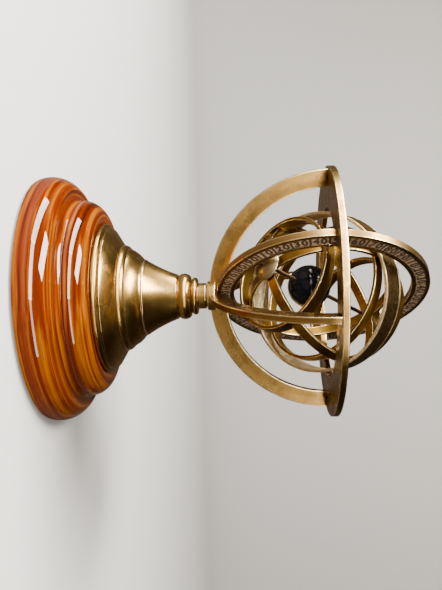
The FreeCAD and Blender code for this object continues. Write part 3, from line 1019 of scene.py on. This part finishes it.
@dataclass
class Cradle:
    """Two crossing half rings and the flat horizon ring they carry."""

    layout: Layout
    outer: float = 36.1
    inner: float = 31.1
    thickness: float = 1.9
    saddle_floor: float = 50.55
    slot: float = 2.26
    tenon: Flat = (33.6, 2.4)
    tenon_levels: tuple[Flat, ...] = ((-0.5, 0.0), (1.85, 0.0), (1.93, 0.1), (1.95, 0.22))
    horizon: Flat = (37.0, 25.2)
    horizon_thickness: float = 1.8
    notch_reach: float = 31.65
    edge: float = 0.16
    arm_steps: int = 72
    horizon_steps: int = 112

    def build(self) -> None:
        """Makes the half rings, the tenon heads and the horizon ring."""
        for name, node, bearing in (
            ("half_ring_side", "cradle_arm_side", 0.0),
            ("half_ring_front", "cradle_arm_front", 90.0),
        ):
            self.half_ring(name, node, bearing)
        self.horizon_ring()

    def half_ring(self, name: str, node: str, bearing: float) -> None:
        """One half ring with the notch in its bottom where the meridian ring passes."""
        crossing = math.radians(self.layout.diagonal - bearing)
        half = self.slot / 2 / abs(math.sin(crossing))
        half += self.thickness / 2 / abs(math.tan(crossing))
        floor = self.layout.arm_centre - self.saddle_floor
        wide = math.asin(half / self.inner)
        narrow = math.atan(half / floor)
        bottom = -math.pi / 2
        drop = self.layout.arm_centre - self.layout.cradle_height
        reach = math.pi / 2 - math.asin(drop / self.inner)
        steps = self.arm_steps
        angles = [bottom - reach + (reach - wide) * i / steps for i in range(steps + 1)]
        pairs = [spoke(angle, self.inner, self.outer) for angle in angles]
        for i in range(-4, 5):
            angle = bottom + narrow * i / 4
            pairs.append(spoke(angle, floor / math.cos(narrow * i / 4), self.outer))
        angles = [bottom + wide + (reach - wide) * i / steps for i in range(steps + 1)]
        pairs += [spoke(angle, self.inner, self.outer) for angle in angles]
        for end in (0, -1):
            inner, outer = pairs[end]
            flush = math.copysign(math.sqrt(self.outer**2 - drop**2), outer.x)
            pairs[end] = (inner, Vector((flush, -drop, 0)))
        shell = Shell().plate(pairs, self.thickness, self.edge, closed=False)
        for side in (-1, 1):
            self.tenon_head(shell, side)
        place(shell.made(name), Body.STAND, RING_BRASS, self.layout.cradle(bearing), [node])

    def tenon_head(self, shell: Shell, side: int) -> None:
        """The end of a half ring that comes up through the horizon ring."""
        centre, width = self.tenon
        half = self.thickness / 2
        low = (side * centre - width / 2, -half)
        section = box_outline(low, (low[0] + width, half)).softened(0.12, 0.1)
        loops = []
        drop = self.layout.arm_centre - self.layout.cradle_height
        for height, inset in self.tenon_levels:
            ring = []
            for x, z, rim in section:
                pull = Vector((side * centre - x, -z)).normalized() * inset
                mark = max(rim, 1.0 if inset else 0.0)
                ring.append((Vector((x + pull.x, height - drop, z + pull.y)), mark))
            loops.append(ring)
        shell.skin(loops, closed=False)

    def horizon_ring(self) -> None:
        """The flat ring with a notch on each side for the meridian ring."""
        outer, inner = self.horizon
        half = self.slot / 2
        wide = math.asin(half / inner)
        narrow = math.asin(half / self.notch_reach)
        pairs: list[tuple[Vector, Vector]] = []
        for side in (0.0, math.pi):
            for i in range(-2, 3):
                angle = side + narrow * i / 2
                reach = self.notch_reach * math.cos(narrow) / math.cos(narrow * i / 2)
                pairs.append(spoke(angle, reach, outer))
            for i in range(self.horizon_steps + 1):
                angle = side + wide + (math.pi - 2 * wide) * i / self.horizon_steps
                pairs.append(spoke(angle, inner, outer))
        shell = Shell().plate(pairs, self.horizon_thickness, self.edge, closed=True)
        lift = (self.layout.cradle_height + self.horizon_thickness / 2) * MM
        turn = Matrix.Rotation(math.radians(self.layout.diagonal), 4, "Z")
        placement = Matrix.Translation((0, 0, lift)) @ turn
        place(shell.made("horizon_plate"), Body.STAND, RING_BRASS, placement, ["horizon_ring"])


@dataclass
class MeridianRing:
    """The upright ring with its engraved scale, and the polar axis through it."""

    layout: Layout
    outer: float = 31.4
    inner: float = 26.2
    thickness: float = 2.1
    band: Flat = (27.25, 30.35)
    band_depth: float = 0.16
    cell: Flat = (27.5, 30.1)
    cell_span: float = 8.7
    cell_thickness: float = 0.08
    cell_lift: float = 0.05
    cell_steps: int = 8
    digit_height: float = 2.35
    digit_share: float = 0.7
    digit_spacing: float = 1.2
    digit_boldness: float = 0.16
    digit_depth: float = 0.02
    digit_lift: float = 0.085

    def build(self) -> None:
        """Makes the ring, its cells and its numbers."""
        half = self.thickness / 2
        floor = half - self.band_depth
        outline = box_outline((self.inner, -half), (self.outer, half))
        corners = outline.points[:3]
        corners += [(self.band[1], half), (self.band[1], floor)]
        corners += [(self.band[0], floor), (self.band[0], half), outline.points[3]]
        shell = Shell().turned(Outline(corners).softened(0.12, 0.2), segments=288)
        face = self.layout.meridian_face()
        place(
            shell.made("graduated_ring"), Body.MERIDIAN, SCALE_BRASS, face, ["meridian_ring"]
        )
        self.band_floor(face, floor)
        self.cells(face, floor)
        self.numbers(face, floor)
        for name in ("axis_rod", "north_spacer", "south_spacer"):
            dress_node(name, AXIS_BRASS)

    def band_floor(self, face: Matrix, floor: float) -> None:
        """The blackened ground of the scale."""
        low = (self.band[0] + 0.05, floor - 0.1)
        section = box_outline(low, (self.band[1] - 0.05, floor + 0.02)).softened(0.01, 0.01)
        shell = Shell().turned(section, segments=288)
        place(shell.made("scale_ground"), Body.MERIDIAN, BLACK_FILL, face)

    def cells(self, face: Matrix, floor: float) -> None:
        """One slightly raised panel for each ten degrees."""
        shell = Shell()
        steps = self.cell_steps
        for index in range(36):
            middle = math.radians(self.cell_angle(index))
            half = math.radians(self.cell_span) / 2
            pairs = []
            for step in range(steps + 1):
                angle = middle - half + 2 * half * step / steps
                pairs.append(spoke(angle, *self.cell))
            start = len(shell.corners)
            shell.plate(pairs, self.cell_thickness, 0.03, closed=False)
            for corner in shell.corners[start:]:
                corner.z += floor + self.cell_lift
            self.mark_ends(shell, start, steps)
        place(shell.made("scale_cells"), Body.MERIDIAN, CELL_BRASS, face)

    @staticmethod
    def mark_ends(shell: Shell, start: int, steps: int) -> None:
        """Marks both ends of a panel as rims, so that they wear bright."""
        width = (len(shell.corners) - start) // (steps + 1)
        for index in list(range(start, start + width)) + list(
            range(len(shell.corners) - width, len(shell.corners))
        ):
            shell.rims[index] = 1.0

    @staticmethod
    def cell_angle(index: int) -> float:
        """The middle of a cell, counted clockwise from the north pole."""
        return 45.0 - 10.0 * (index + 1)

    def numbers(self, face: Matrix, floor: float) -> None:
        """The numbers ten to ninety in each quadrant, their tops outwards."""
        joined = bmesh.new()
        middle = (self.cell[0] + self.cell[1]) / 2 * MM
        for label in range(10, 100, 10):
            drawn = self.drawn_number(str(label))
            for quadrant in range(4):
                index = quadrant * 9 + label // 10 - 1
                angle = math.radians(self.cell_angle(index))
                aim = Matrix.Rotation(angle - math.pi / 2, 4, "Z")
                out = Vector((math.cos(angle), math.sin(angle), 0)) * middle
                out.z = (floor + self.digit_lift) * MM
                copy = drawn.copy()
                copy.transform(Matrix.Translation(out) @ aim)
                joined.from_mesh(copy)
                bpy.data.meshes.remove(copy)
            bpy.data.meshes.remove(drawn)
        mesh = bpy.data.meshes.new("scale_numbers")
        joined.to_mesh(mesh)
        joined.free()
        place(linked("scale_numbers", mesh), Body.MERIDIAN, BLACK_FILL, face)

    def drawn_number(self, text: str) -> bpy.types.Mesh:
        """A number as a thin solid mesh centred on the origin, in metres."""
        curve = bpy.data.curves.new("number", "FONT")
        curve.body = text
        curve.size = self.digit_height / self.digit_share * MM
        curve.extrude = self.digit_depth * MM
        curve.offset = self.digit_boldness * MM
        curve.resolution_u = 3
        curve.space_character = self.digit_spacing
        curve.align_x = "CENTER"
        curve.align_y = "CENTER"
        holder = bpy.data.objects.new("number", curve)
        mesh = bpy.data.meshes.new_from_object(holder)
        bpy.data.objects.remove(holder)
        bpy.data.curves.remove(curve)
        return mesh


@dataclass
class HoopedGlobe:
    """Nested hoops round the polar axis, with a domed cap on each pole."""

    layout: Layout
    hoop_width: float = 3.0
    solstice: Flat = (22.9, 21.95)
    equinox: Flat = (21.93, 20.98)
    equator: Flat = (20.96, 20.0)
    tropic: Flat = (17.0, 16.0)
    tropic_width: float = 3.7
    tropic_offset: float = 15.9
    zodiac: Flat = (23.8, 22.92)
    zodiac_width: float = 7.8
    zodiac_border: float = 0.55
    zodiac_sink: float = 0.1
    cap_bore: float = 0.66
    cap_foot: float = 22.95
    cap_edge: Flat = (4.6, 23.35)
    cap_top: Flat = (1.05, 25.1)
    cap_dome: float = 5.8
    edge: float = 0.13

    def build(self) -> None:
        """Makes the hoops and the caps."""
        hoops = self.layout.hoops()
        upright = Matrix.Rotation(math.radians(90), 4, "Y")
        quarter = Matrix.Rotation(math.radians(90), 4, "Z")
        self.hoop("solstice_hoop", "solstice_colure", self.solstice, hoops @ upright)
        self.hoop("equinox_hoop", "equinox_colure", self.equinox, hoops @ quarter @ upright)
        self.hoop("equator_hoop", "equator_ring", self.equator, hoops)
        for pole in Pole:
            self.tropic_hoop(pole)
            self.cap(pole)
        tilt = Matrix.Rotation(math.radians(-self.layout.obliquity), 4, "X")
        self.zodiac_hoop(hoops @ tilt)

    def hoop(self, name: str, node: str, radii: Flat, placement: Matrix) -> None:
        """A plain hoop."""
        shell = hoop_shell(*radii, self.hoop_width, self.edge)
        place(shell.made(name), Body.GLOBE, HOOP_BRASS, placement, [node])

    def tropic_hoop(self, pole: Pole) -> None:
        """A smaller hoop towards one pole."""
        shell = hoop_shell(*self.tropic, self.tropic_width, self.edge)
        lift = Matrix.Translation((0, 0, self.tropic_offset * MM))
        flip = Matrix.Rotation(math.radians(pole.value), 4, "X")
        name = pole.name.lower()
        placement = self.layout.hoops() @ flip @ lift
        piece = shell.made(f"{name}_tropic_hoop")
        place(piece, Body.GLOBE, HOOP_BRASS, placement, [f"{name}_tropic"])

    def zodiac_hoop(self, placement: Matrix) -> None:
        """The wide band, punched all over between two plain edges."""
        outer, inner = self.zodiac
        half = self.zodiac_width / 2
        border, sink = self.zodiac_border, self.zodiac_sink
        floor, reach = outer - sink, half - border - sink
        corners = [(inner, -half), (outer, -half), (outer, border - half), (floor, -reach)]
        corners += [(floor, reach), (outer, half - border), (outer, half), (inner, half)]
        shell = Shell().turned(Outline(corners).softened(0.14, 0.2), segments=288)
        for index, corner in enumerate(shell.corners):
            if abs(corner.z) > half - border:
                shell.rims[index] = 1.0
        place(shell.made("zodiac_hoop"), Body.GLOBE, ZODIAC_BRASS, placement, ["zodiac_band"])

    def cap(self, pole: Pole) -> None:
        """The dome over a pole, where the hoops cross."""
        bore, foot = self.cap_bore, self.cap_foot
        outline = Outline([(bore, foot), (self.cap_edge[0], foot), self.cap_edge])
        outline.curve(self.cap_top, self.cap_dome, 16)
        outline.line((bore, self.cap_top[1]))
        shell = Shell().turned(outline.softened(0.1), segments=96)
        flip = Matrix.Rotation(math.radians(pole.value), 4, "Y")
        name = f"{pole.name.lower()}_cap"
        placement = self.layout.globe() @ flip
        place(shell.made(f"{name}_dome"), Body.GLOBE, CAP_BRASS, placement, [name])


@dataclass
class EarthBall:
    """The dark glossy ball that slides on the axis."""

    layout: Layout
    radius: float = 6.3
    offset: float = -5.5
    bore: float = 0.65

    def build(self) -> None:
        """Makes the ball with its drilled way for the axis."""
        reach = math.sqrt(self.radius**2 - self.bore**2)
        outline = Outline([(self.bore, -reach)])
        steps = 48
        first = math.asin(reach / self.radius)
        for index in range(1, steps):
            angle = -first + 2 * first * index / steps
            outline.line((self.radius * math.cos(angle), self.radius * math.sin(angle)))
        outline.line((self.bore, reach))
        shell = Shell().turned(outline.softened(0.12, 0.1), segments=96)
        lift = Matrix.Translation((0, 0, self.offset * MM))
        placement = self.layout.globe() @ lift
        place(shell.made("polished_ball"), Body.EARTH, BLACK_GLASS, placement, ["earth_ball"])


def dress_node(name: str, finish: Finish) -> None:
    """Gives a node that is shown as it is a finish and fine edges.

    Args:
        name: the node.
        finish: its finish.
    """
    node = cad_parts[name]
    node.data.materials.clear()
    node.data.materials.append(finish.material())
    weld = node.modifiers.new("weld", "WELD")
    weld.merge_threshold = 1e-6
    soften = node.modifiers.new("soften", "BEVEL")
    soften.width = 0.08 * MM
    soften.segments = 2
    soften.limit_method = "ANGLE"
    soften.angle_limit = math.radians(40)
    log.info("%s keeps its own shape", name)


# ------------------------------------------------------------------ studio


@dataclass
class Studio:
    """Pale floor and sweep, soft lights and the camera."""

    bearing: float = 11.4
    distance: float = 199.51
    eye_height: float = 62.54
    lens: float = 40.19
    shift: float = 0.0678
    pitch: float = 0.0601
    yaw: float = -0.0546
    roll: float = 0.0239
    sweep_front: float = 1.6
    sweep_near: float = 0.3
    sweep_back: float = -0.55
    sweep_bend: float = 0.35
    sweep_steps: int = 16
    sweep_top: float = 1.8
    sweep_half_width: float = 1.8
    lights_aim: float = 0.055
    light_tint: tuple[float, float, float] = (1.0, 0.97, 0.92)

    def towards(self) -> Vector:
        """The level direction from the stand to the camera."""
        turn = math.radians(self.bearing)
        return Vector((-math.sin(turn), -math.cos(turn), 0))

    def sideways(self) -> Vector:
        """The level direction that the rolled camera shows at the top."""
        turn = math.radians(self.bearing)
        return Vector((-math.cos(turn), math.sin(turn), 0))

    def build(self) -> None:
        """Sets up the stage, lights and camera."""
        self.floor()
        self.world()
        self.lights()
        self.camera()

    def floor(self) -> None:
        """A pale floor that sweeps up behind the object, dark brown to glossy rays so that the
        metal shows a painted dark reflection.
        """
        pale = bpy.data.materials.new("pale_floor")
        pale.use_nodes = True
        shader = pale.node_tree.nodes["Principled BSDF"]
        shader.inputs["Roughness"].default_value = 0.9
        tree = Tree(pale.node_tree)
        # Glossy rays see the floor dark brown: a painted dark reflection in the metal, not the
        # floor's own colour.
        path = tree.add("ShaderNodeLightPath")
        seen = tree.blend(
            path.outputs["Is Glossy Ray"], (0.70, 0.68, 0.65, 1), (0.08, 0.06, 0.04, 1)
        )
        tree.wire(seen, shader.inputs["Base Color"])
        back, bend = self.sweep_back, self.sweep_bend
        profile = [(self.sweep_front, 0.0), (self.sweep_near, 0.0), (back, 0.0)]
        for step in range(1, self.sweep_steps + 1):
            angle = math.pi / 2 * step / self.sweep_steps
            profile.append((back - bend * math.sin(angle), bend - bend * math.cos(angle)))
        profile.append((back - bend, self.sweep_top))
        mesh = bpy.data.meshes.new("pale_sweep")
        corners = []
        for out, up in profile:
            for side in (-self.sweep_half_width, self.sweep_half_width):
                corners.append(self.towards() * out + self.sideways() * side + Vector((0, 0, up)))
        faces = [(2 * i, 2 * i + 1, 2 * i + 3, 2 * i + 2) for i in range(len(profile) - 1)]
        mesh.from_pydata(corners, [], faces)
        mesh.materials.append(pale)
        mesh.shade_smooth()
        sweep = bpy.data.objects.new("pale_sweep", mesh)
        bpy.context.scene.collection.objects.link(sweep)

    def world(self) -> None:
        """A pale room for the camera and a dimmer one for reflections."""
        world = bpy.data.worlds.new("pale_room")
        world.use_nodes = True
        tree = Tree(world.node_tree)
        background = world.node_tree.nodes["Background"]
        path = tree.add("ShaderNodeLightPath")
        seen = tree.blend(
            path.outputs["Is Camera Ray"], (0.025, 0.019, 0.014, 1), (0.62, 0.60, 0.57, 1)
        )
        tree.wire(seen, background.inputs["Color"])
        background.inputs["Strength"].default_value = 1.0
        bpy.context.scene.world = world

    def lights(self) -> None:
        """A long low window on one side, two dimmer strips after it, and a high key."""
        self.area("window_light", 78, 13, 0.58, (0.56, 0.16), 10.0)
        self.area("strip_light", 27, 13, 0.58, (0.56, 0.12), 7.0)
        self.area("long_light", -24, 13, 0.58, (0.56, 0.08), 1.6)
        self.area("key_light", 58, 52, 0.55, (0.36, 0.18), 11.5)

    def area(
        self, name: str, around: float, up: float, distance: float, size: Flat, power: float
    ) -> None:
        """Adds an area light aimed at the middle of the object.

        Args:
            name: the light's name.
            around: its bearing from the camera, in degrees towards the sideways direction.
            up: its height over the horizon, in degrees.
            distance: how far it is from there, in metres.
            size: its width and height, in metres.
            power: its power in watts.
        """
        light = bpy.data.lights.new(name, "AREA")
        light.shape = "RECTANGLE"
        light.size, light.size_y = size
        light.energy = power
        light.color = self.light_tint
        holder = bpy.data.objects.new(name, light)
        holder.visible_camera = False
        bpy.context.scene.collection.objects.link(holder)
        turn = math.radians(around)
        level = self.towards() * math.cos(turn) + self.sideways() * math.sin(turn)
        rise = math.radians(up)
        back = level * math.cos(rise) + Vector((0, 0, math.sin(rise)))
        holder.location = Vector((0, 0, self.lights_aim)) + back * distance
        holder.rotation_mode = "QUATERNION"
        holder.rotation_quaternion = back.to_track_quat("Z", "Y")

    def camera(self) -> None:
        """The camera, level with the cradle and rolled so that the object lies on its side."""
        data = bpy.data.cameras.new("camera")
        data.lens = self.lens
        data.sensor_width = 36.0
        data.shift_y = self.shift
        data.clip_start = 0.005
        data.clip_end = 20.0
        holder = bpy.data.objects.new("camera", data)
        bpy.context.scene.collection.objects.link(holder)
        small = (
            Matrix.Rotation(self.roll, 3, "Z")
            @ Matrix.Rotation(self.yaw, 3, "Y")
            @ Matrix.Rotation(self.pitch, 3, "X")
        )
        axes = (Vector((0, 0, 1)), self.sideways(), self.towards())
        columns = []
        for row in small:
            columns.append(axes[0] * row[0] + axes[1] * row[1] + axes[2] * row[2])
        turned = Matrix(columns).transposed().to_4x4()
        place_at = self.towards() * self.distance + Vector((0, 0, self.eye_height))
        holder.matrix_world = Matrix.Translation(place_at * MM) @ turned
        bpy.context.scene.camera = holder


def main() -> None:
    """Builds every sub-assembly in order, from the base up, and then the studio."""
    logging.basicConfig(level=logging.INFO, format="%(name)s: %(message)s")
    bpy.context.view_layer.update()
    layout = Layout()
    WoodenBase().build()
    Pedestal().build()
    Cradle(layout).build()
    MeridianRing(layout).build()
    HoopedGlobe(layout).build()
    EarthBall(layout).build()
    Studio().build()


if __name__ == "__main__":
    main()
